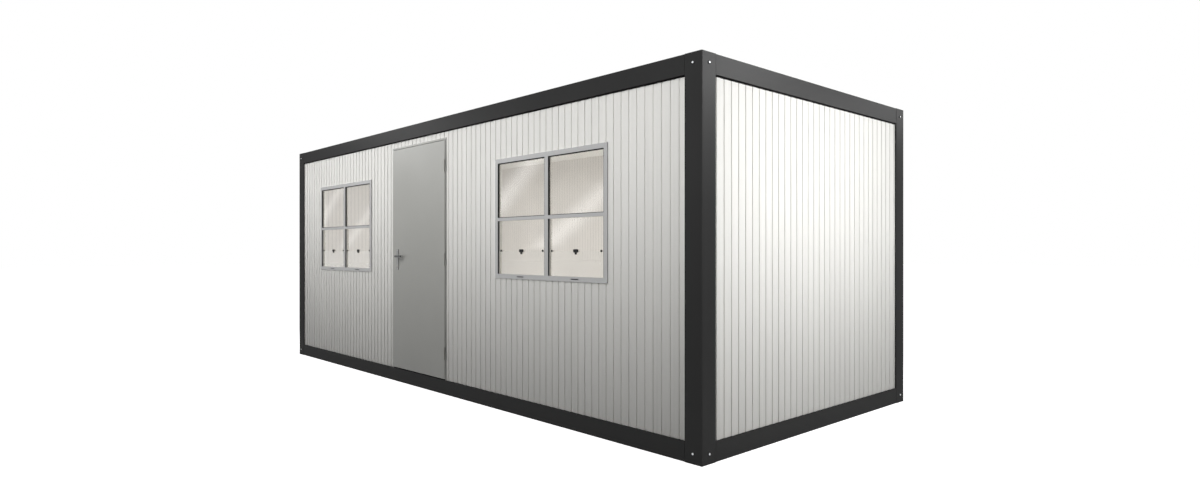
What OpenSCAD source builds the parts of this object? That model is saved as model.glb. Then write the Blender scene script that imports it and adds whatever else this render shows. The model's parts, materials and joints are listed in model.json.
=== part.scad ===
// Portable site cabin: steel frame, ribbed panel walls, one outward door and two windows in front.
// Origin at the centre of the footprint on the ground, +X along the front to the right,
// the front faces -Y, +Z up. Millimetres.

/* [Overall size] */
// Length of the cabin along the front
cabin_length = 6400; // [6000:10:7200]
// Width of the cabin from front to back
cabin_width = 2740; // [2400:10:3000]
// Height of the cabin from the feet to the post heads
cabin_height = 2500; // [2480:5:2900]

/* [Steel frame] */
// Side of the square corner posts
post_side = 138; // [120:1:160]
// Wall of the corner posts
post_wall = 5; // [3:0.5:8]
// Radius of the folded edges of a post
post_edge_radius = 5; // [2:0.5:10]
// Thickness of the foot and head plates of a post
post_plate = 10; // [6:1:16]
// Height of the floor and roof beams
beam_height = 126; // [110:1:150]
// How far the beam faces lie behind the post faces
beam_setback = 1.5; // [1:0.5:10]
// Depth of the beam flanges
beam_flange = 55; // [48:1:56]
// Steel thickness of the beams
beam_steel = 4; // [3:0.5:6]
// Width of the floor joists
joist_width = 45; // [35:1:60]
// Number of floor joists
joist_count = 11; // [7:1:14]
// Steel thickness of the joists
joist_steel = 3; // [2:0.5:5]

/* [Walls] */
// How far the rib crests lie behind the post faces
wall_setback = 14; // [10:0.5:20]
// Height of the ribs over the valleys
rib_depth = 2; // [1:0.25:4]
// Depth of the narrow groove beside each rib, from the crest
groove_depth = 6; // [4:0.5:8]
// Width of that groove
groove_width = 6; // [4:0.5:9]
// Thickness of the outer sheet in the valleys
skin_thickness = 2; // [1:0.5:3]
// Thickness of the wall panel core with its lining
core_thickness = 42; // [40:1:60]
// Thickness of the inner lining that runs up to the ceiling
lining_thickness = 6; // [4:1:10]
// Pitch of the ribs
rib_pitch = 73; // [60:1:90]
// Pitch of the ribs on the two end walls
end_rib_pitch = 75.8; // [60:0.2:90]
// Width of a rib crest
rib_crest = 31; // [20:1:36]
// Width of the sloping flank of a rib
rib_flank = 5; // [2:0.5:7]
// Where the first groove lies, right of the middle of the front
groove_start = 13; // [0:1:40]
// Shadow gap between the wall panels and the roof beam
wall_top_gap = 10; // [3:1:14]

/* [Floor and roof] */
// Thickness of the floor deck
deck_thickness = 20; // [15:1:28]
// Thickness of the sheet under the floor
underfloor_thickness = 2; // [1:0.5:4]
// Thickness of the ceiling panel
ceiling_thickness = 10; // [8:1:14]
// Height of the roof sheet's ribs
roof_rib_height = 18; // [10:1:20]
// Thickness of the roof sheet in its valleys
roof_sheet_thickness = 2; // [1:0.5:3]
// Pitch of the roof sheet's ribs
roof_rib_pitch = 250; // [200:5:300]
// Crest width of the roof sheet's ribs
roof_rib_crest = 60; // [40:5:80]

/* [Door] */
// Width of the door leaf
leaf_width = 974; // [800:1:1000]
// Height of the wall strip over the door frame
over_door_height = 52; // [40:1:200]
// Thickness of the door leaf
leaf_thickness = 44; // [38:1:46]
// Centre of the door leaf along the front
door_centre = -230; // [-300:1:-150]
// Gap around the door leaf
door_gap = 6; // [5:0.5:7]
// Gap between the floor beam and the door leaf
leaf_floor_gap = 9.5; // [5:0.5:14]
// How far the leaf stands in front of the frame face
leaf_proud = 4; // [2:0.5:6]
// Width of the visible door frame face
frame_face = 16; // [14:1:30]
// How far the door frame stands in front of the rib crests
frame_proud = 4; // [2:0.5:6]
// How far the door stop reaches behind the leaf
stop_cover = 12; // [8:1:20]
// Radius of the hinge knuckles
knuckle_radius = 7; // [6:0.5:9]
// Radius of the hinge pins
hinge_pin_radius = 4; // [3:0.5:4.5]
// Length of each half of a hinge
hinge_half = 52; // [40:1:70]
// Thickness of the hinge straps
strap_thickness = 3; // [2:0.5:4]

/* [Door handle] */
// Width of the handle back plate
plate_width = 37; // [30:1:45]
// Height of the handle back plate
plate_height = 202; // [160:1:230]
// Thickness of the handle back plate
plate_thickness = 6; // [3:0.5:8]
// Distance from the free edge of the leaf to the handle axis
handle_inset = 90; // [60:1:110]
// Height of the handle axis over the ground
handle_height = 1236; // [1100:1:1350]
// Distance from the top of the plate down to the handle axis
plate_above = 70; // [40:1:90]
// Length of the lever from the handle axis to its tip
lever_length = 118; // [90:1:140]
// Height of the lever arm
lever_height = 20; // [16:1:24]
// Thickness of the lever arm
lever_thickness = 10; // [8:1:14]
// Free room between the plate and the lever arm
lever_clear = 18; // [12:1:35]
// Radius of the spindle between the levers
spindle_radius = 6; // [5:0.5:8]

/* [Windows] */
// Width of a window over its outer frame
window_width = 1327; // [900:1:1380]
// Height of a window over its outer frame
window_height = 967; // [800:1:1100]
// Drop from the top of the wall panels to the top of the windows
window_drop = 325; // [250:1:420]
// How far the right window stands right of the middle of its wall
window_right_shift = 38; // [-100:0.5:150]
// How far the left window stands right of the middle of its wall
window_left_shift = 22; // [-100:0.5:150]
// Width of the outer frame face
window_face = 35; // [28:1:44]
// Width of the upright bar between the panes
mullion_width = 42; // [30:1:50]
// Height of the cross bar between upper and lower panes
transom_height = 26; // [20:1:34]
// Height of the cross bar centre over the lower edge of the window
transom_rise = 476; // [400:2:520]
// How far the window frame stands in front of the rib crests
window_proud = 8; // [6:0.5:12]
// Depth of the frame bars from their face
window_frame_depth = 35; // [28:1:40]
// Thickness of the sleeve that lines the hole behind the frame bars
sleeve_thickness = 3; // [2:0.5:5]
// How far the frame covers the wall around its hole
window_cover = 12; // [8:1:20]
// Thickness of the inner trim
trim_thickness = 4; // [3:0.5:8]
// Fitting gap between the window frame and the wall hole
window_fit = 1; // [0.5:0.5:3]
// Distance from the frame face back to the upper glass
upper_glass_setback = 14; // [10:0.5:16]
// Distance from the frame face back to the lower glass
lower_glass_setback = 18; // [14:0.5:19]
// Thickness of the fixed glass
glass_thickness = 6; // [4:0.5:7]
// How far the glass sits in its groove
glass_bite = 8; // [5:1:10]
// Thickness of the black gasket around each pane
gasket_thickness = 4; // [2:0.5:5]
// Height of the gasket along the top of an upper pane
gasket_top_height = 7.5; // [4:0.5:8]
// Depth of the black channels at the sides of the lower panes
channel_depth = 8; // [5:0.5:10]
// Height of the sliding vent glass in the lower panes
vent_height = 187; // [120:1:260]
// Thickness of the sliding vent glass
vent_glass = 3; // [2:0.5:4]
// Width of the vent catch
catch_width = 50; // [28:1:60]
// Height of the vent catch without its finger drop
catch_height = 25; // [18:1:32]
// Radius of the finger drop under the vent catch
catch_drop_radius = 8; // [5:0.5:10]
// Thickness of the vent catch
catch_thickness = 7; // [5:1:10]
// Radius of the round stops beside the catch
stop_radius = 6.5; // [3:0.5:9]
// Distance of the round stops from the pane side
stop_inset = 34; // [16:1:45]
// Thickness of those stops
stop_thickness = 4; // [2:0.5:6]
// Length of the drain cover on the lower rail
drain_length = 80; // [50:1:110]
// Height of the drain cover
drain_height = 7; // [5:1:10]
// Thickness of the drain cover
drain_thickness = 3; // [2:0.5:5]

/* [Hidden] */

$fn = 48;
// Cuts run this far past a face
over = 1;
// Room between a sheet's notch and the post in it
post_fit = 0.5;
// Room between the vent glass and the frame at each side of it
vent_fit = 0.5;

anthracite = "#3c4042";
off_white = "#e3e3e0";
lining_cream = "#e4dfd4";
door_grey = "#9e9e9a";
aluminium_grey = "#aaacad";
handle_dark = "#4a4b4c";
rubber_black = "#161616";
floor_brown = "#8a7a66";
sheet_grey = "#8f9496";

half_length = cabin_length / 2;
half_width = cabin_width / 2;

// Heights of the frame
beam_low = beam_setback;
floor_beam_top = beam_low + beam_height;
roof_beam_top = cabin_height - beam_setback;
roof_beam_low = roof_beam_top - beam_height;

// Depths behind the post face, counted inwards
core_face = wall_setback + groove_depth + skin_thickness;
wall_inner = core_face + core_thickness;
beam_back = beam_setback + beam_flange;
web_inner = beam_setback + beam_steel;
wall_top = roof_beam_low - wall_top_gap;

// Floor and roof heights
underfloor_low = beam_low + beam_steel;
joist_low = underfloor_low + underfloor_thickness;
joist_top = floor_beam_top - beam_steel;
deck_top = floor_beam_top + deck_thickness;
roof_sheet_top = roof_beam_top - beam_steel - over;
roof_sheet_low = roof_sheet_top - roof_rib_height - roof_sheet_thickness;
ceiling_low = roof_sheet_low - ceiling_thickness;

// Lengths of the walls between the posts
long_span = cabin_length - 2 * post_side;
short_span = cabin_width - 2 * post_side;

// Door
frame_depth_face = wall_setback - frame_proud;
leaf_face = frame_depth_face - leaf_proud;
leaf_back = leaf_face + leaf_thickness;
leaf_left = door_centre - leaf_width / 2;
leaf_right = door_centre + leaf_width / 2;
leaf_low = floor_beam_top + leaf_floor_gap;
doorway_left = leaf_left - door_gap - frame_face;
doorway_right = leaf_right + door_gap + frame_face;
doorway_top = wall_top - over_door_height;
leaf_top = doorway_top - frame_face - door_gap;
leaf_height = leaf_top - leaf_low;
frame_back = wall_inner + trim_thickness;
hinge_x = leaf_right + door_gap / 2;
hinge_depth = leaf_face - knuckle_radius;
hinge_heights = [leaf_low + 230, leaf_low + leaf_height / 2, leaf_top - 230];
hinge_clear = 0.3;
hinge_gap = 1;
strap_reach = 18;
strap_step = 2;

// Door handle
handle_x = leaf_left + handle_inset;
spindle_clear = 0.4;
neck_gap = 0.5;
neck_radius = 9;
lever_tip_radius = lever_height / 2;

// Windows
window_right_centre = (doorway_right + long_span / 2) / 2 + window_right_shift;
window_left_centre = (doorway_left - long_span / 2) / 2 + window_left_shift;
window_sill = wall_top - window_drop - window_height;
window_hole_width = window_width - 2 * window_cover;
window_hole_height = window_height - 2 * window_cover;
pane_width = (window_width - 2 * window_face - mullion_width) / 2;
pane_shift = (pane_width + mullion_width) / 2;
lower_pane_low = window_sill + window_face;
lower_pane_height = transom_rise - transom_height / 2 - window_face;
upper_pane_low = window_sill + transom_rise + transom_height / 2;
upper_pane_height = window_height - window_face - transom_rise - transom_height / 2;
window_depth_face = wall_setback - window_proud;
frame_bar_back = window_depth_face + window_frame_depth;
sleeve_inset = window_cover + window_fit + sleeve_thickness;
upper_glass_face = window_depth_face + upper_glass_setback;
lower_glass_face = window_depth_face + lower_glass_setback;
glazing_back = lower_glass_face + glass_thickness;
vent_back = lower_glass_face - 1;
vent_face = vent_back - vent_glass;

// Box from depth d0 to d1 behind the front post face, over x and z
module front_box(x0, x1, d0, d1, z0, z1) {
    translate([x0, d0 - half_width, z0])
        cube([x1 - x0, d1 - d0, z1 - z0]);
}

// Turns what is drawn at the front to the back, the left end or the right end
module at_side(side) {
    if (side == "front") children();
    if (side == "back") rotate([0, 0, 180]) children();
    if (side == "left") translate([half_width - half_length, 0, 0]) rotate([0, 0, -90]) children();
    if (side == "right") translate([half_length - half_width, 0, 0]) rotate([0, 0, 90]) children();
}

// Rectangle with round corners, about its centre
module rounded_rectangle(width, height, r) {
    square([width - 2 * r, height], center = true);
    square([width, height - 2 * r], center = true);
    for (sx = [-1, 1], sy = [-1, 1])
        translate([sx * (width / 2 - r), sy * (height / 2 - r)])
            circle(r = r);
}

// Hollow square post with folded edges and a plate at each end
module corner_post(side_x, side_y) {
    middle = [side_x * (half_length - post_side / 2), side_y * (half_width - post_side / 2), 0];
    color(anthracite)
        translate(middle)
            difference() {
                linear_extrude(cabin_height)
                    rounded_rectangle(post_side, post_side, post_edge_radius);
                translate([post_wall - post_side / 2, post_wall - post_side / 2, post_plate])
                    cube([post_side - 2 * post_wall, post_side - 2 * post_wall,
                          cabin_height - 2 * post_plate]);
            }
}

// Channel beam with its web outside and its flanges turned inwards
module channel_beam(span, low) {
    color(anthracite)
        difference() {
            front_box(-span / 2, span / 2, beam_setback, beam_back, low, low + beam_height);
            front_box(-span / 2 - over, span / 2 + over, web_inner, beam_back + over,
                      low + beam_steel, low + beam_height - beam_steel);
        }
}

// Joists between the long beams, with their ends let into the channels
module floor_joists() {
    step = long_span / (joist_count + 1);
    color(sheet_grey)
        for (i = [1 : joist_count])
            translate([i * step - long_span / 2 - joist_width / 2, 0, 0])
                joist();
}

module joist() {
    reach = half_width - web_inner;
    clear_reach = half_width - beam_back;
    difference() {
        union() {
            translate([0, -reach, joist_low])
                cube([joist_width, 2 * reach, joist_top - joist_low]);
            translate([0, -clear_reach, joist_top - over])
                cube([joist_width, 2 * clear_reach, floor_beam_top - joist_top + over]);
        }
        translate([joist_steel, -reach - over, joist_low + joist_steel])
            cube([joist_width, 2 * reach + 2 * over, joist_top - joist_low - 2 * joist_steel]);
    }
}

// Flat rectangle that leaves the four corner posts free
module sheet_between_posts(inset, low, thickness) {
    notch = post_side - inset;
    translate([0, 0, low])
        linear_extrude(thickness)
            difference() {
                square([cabin_length - 2 * inset, cabin_width - 2 * inset], center = true);
                for (sx = [-1, 1], sy = [-1, 1])
                    translate([sx * (half_length - inset - notch / 2), sy * (half_width - inset - notch / 2)])
                        square([notch + 2 * post_fit, notch + 2 * post_fit], center = true);
            }
}

module underfloor_sheet() {
    color(sheet_grey) sheet_between_posts(web_inner, underfloor_low, underfloor_thickness);
}

module floor_deck() {
    color(floor_brown) sheet_between_posts(wall_inner, floor_beam_top, deck_thickness);
}

module ceiling_panel() {
    color(off_white) sheet_between_posts(web_inner, ceiling_low, ceiling_thickness);
}

// Sheet with raised ribs that run from front to back
module roof_sheet() {
    rib_run = cabin_width - 2 * web_inner;
    rib_count = floor((long_span - roof_rib_pitch) / roof_rib_pitch);
    color(sheet_grey)
        union() {
            sheet_between_posts(web_inner, roof_sheet_low, roof_sheet_thickness);
            for (i = [0 : rib_count])
                translate([(i - rib_count / 2) * roof_rib_pitch, rib_run / 2,
                           roof_sheet_low + roof_sheet_thickness])
                    rotate([90, 0, 0])
                        linear_extrude(rib_run)
                            polygon([[-roof_rib_crest / 2 - roof_rib_height, -over],
                                     [roof_rib_crest / 2 + roof_rib_height, -over],
                                     [roof_rib_crest / 2, roof_rib_height],
                                     [-roof_rib_crest / 2, roof_rib_height]]);
        }
}

// Wall panel: the core slab, with the lining running up behind the roof beam
module wall_core(x0, x1, low) {
    front_box(x0, x1, core_face, wall_inner, low, wall_top);
    front_box(x0, x1, wall_inner - lining_thickness, wall_inner, wall_top - over, ceiling_low);
}

// Outer sheet with a narrow groove and a low rib at each pitch, flat at the back on the core
module ribbed_skin(x0, x1, low, pitch, start) {
    first = ceil((x0 - start - pitch) / pitch);
    last = floor((x1 - start) / pitch);
    valley = wall_setback + rib_depth - half_width;
    crest = wall_setback - half_width;
    groove = wall_setback + groove_depth - half_width;
    back = core_face - half_width;
    rib_start = pitch - rib_crest;
    ribs = [for (i = [first : last])
        for (p = [[0, crest], [0, groove], [groove_width, groove], [groove_width, valley],
                  [rib_start - rib_flank, valley], [rib_start, crest]])
            [start + i * pitch + p[0], p[1]]];
    translate([0, 0, low])
        linear_extrude(wall_top - low)
            intersection() {
                polygon(concat([[x0 - 2 * pitch, back], [x0 - 2 * pitch, crest]], ribs,
                               [[x1 + 2 * pitch, crest], [x1 + 2 * pitch, back]]));
                translate([x0, crest - over])
                    square([x1 - x0, back - crest + over]);
            }
}

// Space that a window takes out of the wall
module window_hole(centre) {
    front_box(centre - window_hole_width / 2, centre + window_hole_width / 2,
              -over, wall_inner + over,
              window_sill + window_cover, window_sill + window_cover + window_hole_height);
}

module front_wall_left() {
    color(lining_cream)
        difference() {
            wall_core(-long_span / 2, doorway_left, floor_beam_top);
            window_hole(window_left_centre);
        }
}

module front_wall_right() {
    color(lining_cream)
        difference() {
            wall_core(doorway_right, long_span / 2, floor_beam_top);
            window_hole(window_right_centre);
        }
}

module front_wall_over_door() {
    color(lining_cream) wall_core(doorway_left, doorway_right, doorway_top);
}

module back_wall() {
    color(lining_cream) at_side("back") wall_core(-long_span / 2, long_span / 2, floor_beam_top);
}

module left_end_wall() {
    color(lining_cream) at_side("left") wall_core(-short_span / 2, short_span / 2, floor_beam_top);
}

module right_end_wall() {
    color(lining_cream) at_side("right") wall_core(-short_span / 2, short_span / 2, floor_beam_top);
}

module front_cladding_left() {
    color(off_white)
        difference() {
            ribbed_skin(-long_span / 2, doorway_left, floor_beam_top, rib_pitch, groove_start);
            window_hole(window_left_centre);
        }
}

module front_cladding_right() {
    color(off_white)
        difference() {
            ribbed_skin(doorway_right, long_span / 2, floor_beam_top, rib_pitch, groove_start);
            window_hole(window_right_centre);
        }
}

module front_cladding_over_door() {
    color(off_white) ribbed_skin(doorway_left, doorway_right, doorway_top, rib_pitch, groove_start);
}

module back_cladding() {
    color(off_white)
        at_side("back") ribbed_skin(-long_span / 2, long_span / 2, floor_beam_top, rib_pitch, groove_start);
}

module left_end_cladding() {
    color(off_white)
        at_side("left")
            mirror([1, 0, 0])
                ribbed_skin(-short_span / 2, short_span / 2, floor_beam_top, end_rib_pitch, -groove_width);
}

module right_end_cladding() {
    color(off_white)
        at_side("right")
            mirror([1, 0, 0])
                ribbed_skin(-short_span / 2, short_span / 2, floor_beam_top, end_rib_pitch, -groove_width);
}

// Steel door frame with a stop behind the leaf and a threshold
module door_frame() {
    stop_depth = leaf_back + door_gap;
    color(door_grey)
        difference() {
            front_box(doorway_left, doorway_right, frame_depth_face, frame_back, floor_beam_top, doorway_top);
            front_box(leaf_left - door_gap, leaf_right + door_gap, frame_depth_face - over, stop_depth,
                      floor_beam_top - over, leaf_top + door_gap);
            front_box(leaf_left + stop_cover, leaf_right - stop_cover, stop_depth - over, frame_back + over,
                      deck_top, leaf_top - stop_cover);
            front_box(doorway_left - over, doorway_right + over, wall_inner, frame_back + over,
                      floor_beam_top - over, deck_top);
        }
}

module door_leaf() {
    color(door_grey)
        difference() {
            front_box(leaf_left, leaf_right, leaf_face, leaf_back, leaf_low, leaf_top);
            handle_axis(leaf_face - over, leaf_back + over, spindle_radius + spindle_clear);
        }
}

// Cylinder along the handle axis from depth d0 to d1
module handle_axis(d0, d1, r) {
    translate([handle_x, d0 - half_width, handle_height])
        rotate([-90, 0, 0])
            cylinder(h = d1 - d0, r = r);
}

module handle_plate(d0, d1) {
    difference() {
        front_box(handle_x - plate_width / 2, handle_x + plate_width / 2, d0, d1,
                  handle_height + plate_above - plate_height, handle_height + plate_above);
        handle_axis(d0 - over, d1 + over, spindle_radius + spindle_clear);
    }
}

module handle_plates() {
    color(handle_dark) {
        handle_plate(leaf_face - plate_thickness, leaf_face);
        handle_plate(leaf_back, leaf_back + plate_thickness);
    }
}

// Lever arm from the handle axis towards the hinges
module lever_arm(d0, d1) {
    translate([handle_x, d1 - half_width, handle_height])
        rotate([90, 0, 0])
            linear_extrude(d1 - d0)
                union() {
                    circle(r = lever_tip_radius);
                    translate([0, -lever_height / 2]) square([lever_length - lever_tip_radius, lever_height]);
                    translate([lever_length - lever_tip_radius, 0]) circle(r = lever_tip_radius);
                }
}

module door_lever_outside() {
    arm_back = leaf_face - plate_thickness - lever_clear;
    color(handle_dark)
        union() {
            lever_arm(arm_back - lever_thickness, arm_back);
            handle_axis(arm_back - over, leaf_face - plate_thickness - neck_gap, neck_radius);
            handle_axis(arm_back - over, leaf_back + plate_thickness + neck_gap, spindle_radius);
        }
}

module door_lever_inside() {
    arm_face = leaf_back + plate_thickness + lever_clear;
    color(handle_dark)
        union() {
            lever_arm(arm_face, arm_face + lever_thickness);
            handle_axis(leaf_back + plate_thickness + neck_gap, arm_face + over, neck_radius);
        }
}

// Upright cylinder on the hinge axis
module on_hinge(z0, z1, r) {
    translate([hinge_x, hinge_depth - half_width, z0])
        cylinder(h = z1 - z0, r = r);
}

// Lower half of each hinge: knuckle, pin, and a strap on the frame face
module hinge_frame_halves() {
    color(door_grey)
        for (z = hinge_heights)
            union() {
                on_hinge(z - hinge_half, z, knuckle_radius);
                on_hinge(z - over, z + hinge_half, hinge_pin_radius);
                front_box(hinge_x + strap_step, hinge_x + knuckle_radius - over,
                          hinge_depth, frame_depth_face, z - hinge_half, z);
                front_box(hinge_x + strap_step, hinge_x + strap_reach,
                          frame_depth_face - strap_thickness, frame_depth_face, z - hinge_half, z);
            }
}

// Upper half of each hinge: knuckle over the pin, and a strap on the leaf face
module hinge_leaf_halves() {
    color(door_grey)
        for (z = hinge_heights)
            difference() {
                union() {
                    on_hinge(z + hinge_gap, z + hinge_half + hinge_gap, knuckle_radius);
                    front_box(hinge_x - strap_reach, hinge_x, leaf_face - strap_thickness, leaf_face,
                              z + hinge_gap, z + hinge_half + hinge_gap);
                }
                on_hinge(z, z + hinge_half + 2 * hinge_gap, hinge_pin_radius + hinge_clear);
            }
}

// Two pane openings side by side, grown by a margin on every side
module pane_row(centre, d0, d1, low, height, grow) {
    for (side = [-1, 1])
        front_box(centre + side * pane_shift - pane_width / 2 - grow,
                  centre + side * pane_shift + pane_width / 2 + grow, d0, d1,
                  low - grow, low + height + grow);
}

module upper_panes(centre, d0, d1, grow) {
    pane_row(centre, d0, d1, upper_pane_low, upper_pane_height, grow);
}

module lower_panes(centre, d0, d1, grow) {
    pane_row(centre, d0, d1, lower_pane_low, lower_pane_height, grow);
}

module window_slab(centre, inset, d0, d1) {
    front_box(centre - window_width / 2 + inset, centre + window_width / 2 - inset, d0, d1,
              window_sill + inset, window_sill + window_height - inset);
}

// Frame bars that cover the wall's edge outside and hold the glass
module window_frame(centre) {
    color(aluminium_grey)
        difference() {
            union() {
                window_slab(centre, 0, window_depth_face, wall_setback);
                window_slab(centre, window_cover + window_fit, wall_setback - over, glazing_back);
            }
            upper_panes(centre, window_depth_face - over, glazing_back + over, 0);
            lower_panes(centre, window_depth_face - over, glazing_back + over, 0);
            upper_panes(centre, upper_glass_face, upper_glass_face + glass_thickness, glass_bite);
            lower_panes(centre, lower_glass_face, glazing_back + over, glass_bite);
        }
}

// White inner bars behind the glass, the sleeve through the wall and the trim around it inside
module window_liner(centre) {
    color(off_white)
        difference() {
            union() {
                window_slab(centre, window_cover + window_fit, glazing_back, wall_inner + over);
                window_slab(centre, 0, wall_inner, wall_inner + trim_thickness);
            }
            window_slab(centre, sleeve_inset, frame_bar_back, wall_inner + trim_thickness + over);
            upper_panes(centre, glazing_back - over, frame_bar_back + over, 0);
            lower_panes(centre, glazing_back - over, frame_bar_back + over, 0);
        }
}

// A ring around each upper pane, and an upright channel at each side of the lower panes
module window_gaskets(centre) {
    channel_back = window_depth_face + channel_depth;
    color(rubber_black) {
        difference() {
            upper_panes(centre, window_depth_face + over, upper_glass_face, 0);
            for (side = [-1, 1])
                front_box(centre + side * pane_shift - pane_width / 2 + gasket_thickness,
                          centre + side * pane_shift + pane_width / 2 - gasket_thickness,
                          window_depth_face, upper_glass_face + over,
                          upper_pane_low + gasket_thickness,
                          upper_pane_low + upper_pane_height - gasket_top_height);
        }
        for (side = [-1, 1], edge = [-1, 1])
            translate([edge * (pane_width - gasket_thickness) / 2, 0, 0])
                front_box(centre + side * pane_shift - gasket_thickness / 2,
                          centre + side * pane_shift + gasket_thickness / 2,
                          window_depth_face + over, channel_back,
                          lower_pane_low, lower_pane_low + lower_pane_height);
    }
}

module window_glass(centre) {
    color(aluminium_grey, 0.4) {
        upper_panes(centre, upper_glass_face, upper_glass_face + glass_thickness, glass_bite);
        lower_panes(centre, lower_glass_face, lower_glass_face + glass_thickness, glass_bite);
    }
}

// Short glass sheets that slide up in front of the lower panes
module vent_glass(centre) {
    color(aluminium_grey, 0.4)
        for (side = [-1, 1]) {
            x = centre + side * pane_shift;
            half = pane_width / 2 - vent_fit;
            front_box(x - half, x + half, vent_face, vent_back, lower_pane_low,
                      lower_pane_low + vent_height);
        }
}

// Catch on the vent glass, a round stop at each side of it, and the drain cover on the lower rail
module vent_catch(x) {
    z = lower_pane_low + vent_height;
    catch_drop = 0.8 * catch_drop_radius;
    translate([x, vent_face - half_width, z])
        rotate([90, 0, 0])
            linear_extrude(catch_thickness)
                union() {
                    rounded_rectangle(catch_width, catch_height, catch_height / 2.4, $fn = 32);
                    translate([0, -catch_height / 2 - catch_drop]) circle(r = catch_drop_radius, $fn = 24);
                    translate([-catch_drop_radius, -catch_height / 2 - catch_drop])
                        square([2 * catch_drop_radius, catch_height / 2]);
                }
    for (side = [-1, 1])
        translate([x + side * (pane_width / 2 - stop_inset), vent_face - half_width, z])
            rotate([90, 0, 0])
                cylinder(h = stop_thickness, r = stop_radius, $fn = 24);
    front_box(x - drain_length / 2, x + drain_length / 2,
              window_depth_face - drain_thickness, window_depth_face,
              window_sill + window_face / 2 - drain_height / 2,
              window_sill + window_face / 2 + drain_height / 2);
}

module window_catches() {
    color(rubber_black)
        for (centre = [window_left_centre, window_right_centre], side = [-1, 1])
            vent_catch(centre + side * pane_shift);
}

corner_post(-1, -1);  // corner_post_front_left
corner_post(1, -1);  // corner_post_front_right
corner_post(-1, 1);  // corner_post_back_left
corner_post(1, 1);  // corner_post_back_right
at_side("front") channel_beam(long_span, beam_low);  // floor_beam_front
at_side("back") channel_beam(long_span, beam_low);  // floor_beam_back
at_side("left") channel_beam(short_span, beam_low);  // floor_beam_left
at_side("right") channel_beam(short_span, beam_low);  // floor_beam_right
at_side("front") channel_beam(long_span, roof_beam_low);  // roof_beam_front
at_side("back") channel_beam(long_span, roof_beam_low);  // roof_beam_back
at_side("left") channel_beam(short_span, roof_beam_low);  // roof_beam_left
at_side("right") channel_beam(short_span, roof_beam_low);  // roof_beam_right
floor_joists();
underfloor_sheet();
floor_deck();
roof_sheet();
ceiling_panel();
front_wall_left();
front_wall_over_door();
front_wall_right();
back_wall();
left_end_wall();
right_end_wall();
front_cladding_left();
front_cladding_over_door();
front_cladding_right();
back_cladding();
left_end_cladding();
right_end_cladding();
door_frame();
door_leaf();
hinge_frame_halves();
hinge_leaf_halves();
handle_plates();
door_lever_outside();
door_lever_inside();
window_frame(window_left_centre);  // window_frame_left
window_frame(window_right_centre);  // window_frame_right
window_liner(window_left_centre);  // window_liner_left
window_liner(window_right_centre);  // window_liner_right
window_gaskets(window_left_centre);  // window_gaskets_left
window_gaskets(window_right_centre);  // window_gaskets_right
window_glass(window_left_centre);  // window_glass_left
window_glass(window_right_centre);  // window_glass_right
vent_glass(window_left_centre);  // vent_glass_left
vent_glass(window_right_centre);  // vent_glass_right
window_catches();
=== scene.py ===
"""Portable site cabin: the finishes, fixings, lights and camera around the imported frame."""

import json
import math

import bmesh
import bpy
from bpy.props import FloatProperty, FloatVectorProperty, IntProperty, PointerProperty
from mathutils import Matrix, Vector


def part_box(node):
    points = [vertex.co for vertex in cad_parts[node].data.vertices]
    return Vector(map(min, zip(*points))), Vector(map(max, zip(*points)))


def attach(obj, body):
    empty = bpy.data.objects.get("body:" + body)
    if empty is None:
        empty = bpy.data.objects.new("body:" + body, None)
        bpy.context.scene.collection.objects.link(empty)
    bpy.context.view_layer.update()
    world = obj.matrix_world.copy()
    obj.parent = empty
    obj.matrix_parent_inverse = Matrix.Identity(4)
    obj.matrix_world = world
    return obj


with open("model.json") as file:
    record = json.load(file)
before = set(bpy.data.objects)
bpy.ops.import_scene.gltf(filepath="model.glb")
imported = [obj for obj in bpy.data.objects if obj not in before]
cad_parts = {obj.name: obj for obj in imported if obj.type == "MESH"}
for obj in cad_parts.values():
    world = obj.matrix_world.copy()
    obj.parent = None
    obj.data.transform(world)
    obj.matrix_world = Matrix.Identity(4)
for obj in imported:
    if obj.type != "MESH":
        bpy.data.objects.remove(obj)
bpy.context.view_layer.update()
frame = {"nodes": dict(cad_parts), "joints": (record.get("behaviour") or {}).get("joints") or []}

bl_info = {
    "name": "Portable Site Cabin",
    "version": (1, 0, 0),
    "blender": (4, 5, 0),
    "location": "3D View > Sidebar > Site Cabin",
    "description": "Finishes, fixings and stage for a steel-framed portable site cabin",
    "category": "Object",
}

MM = 0.001
# How far a washer's middle stands over its rim, as a share of its thickness
WASHER_RISE = 0.4


def srgb(code):
    """Linear red, green and blue of an sRGB hex code."""
    parts = [int(code[i : i + 2], 16) / 255 for i in (1, 3, 5)]
    return tuple(c / 12.92 if c <= 0.04045 else ((c + 0.055) / 1.055) ** 2.4 for c in parts)


def colour_property(name, description, code):
    return FloatVectorProperty(
        name=name, description=description, default=srgb(code), subtype="COLOR", size=3, min=0, max=1
    )


def length_property(name, description, millimetres):
    return FloatProperty(
        name=name, description=description, default=millimetres * MM, unit="LENGTH", min=0, precision=4
    )


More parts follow.
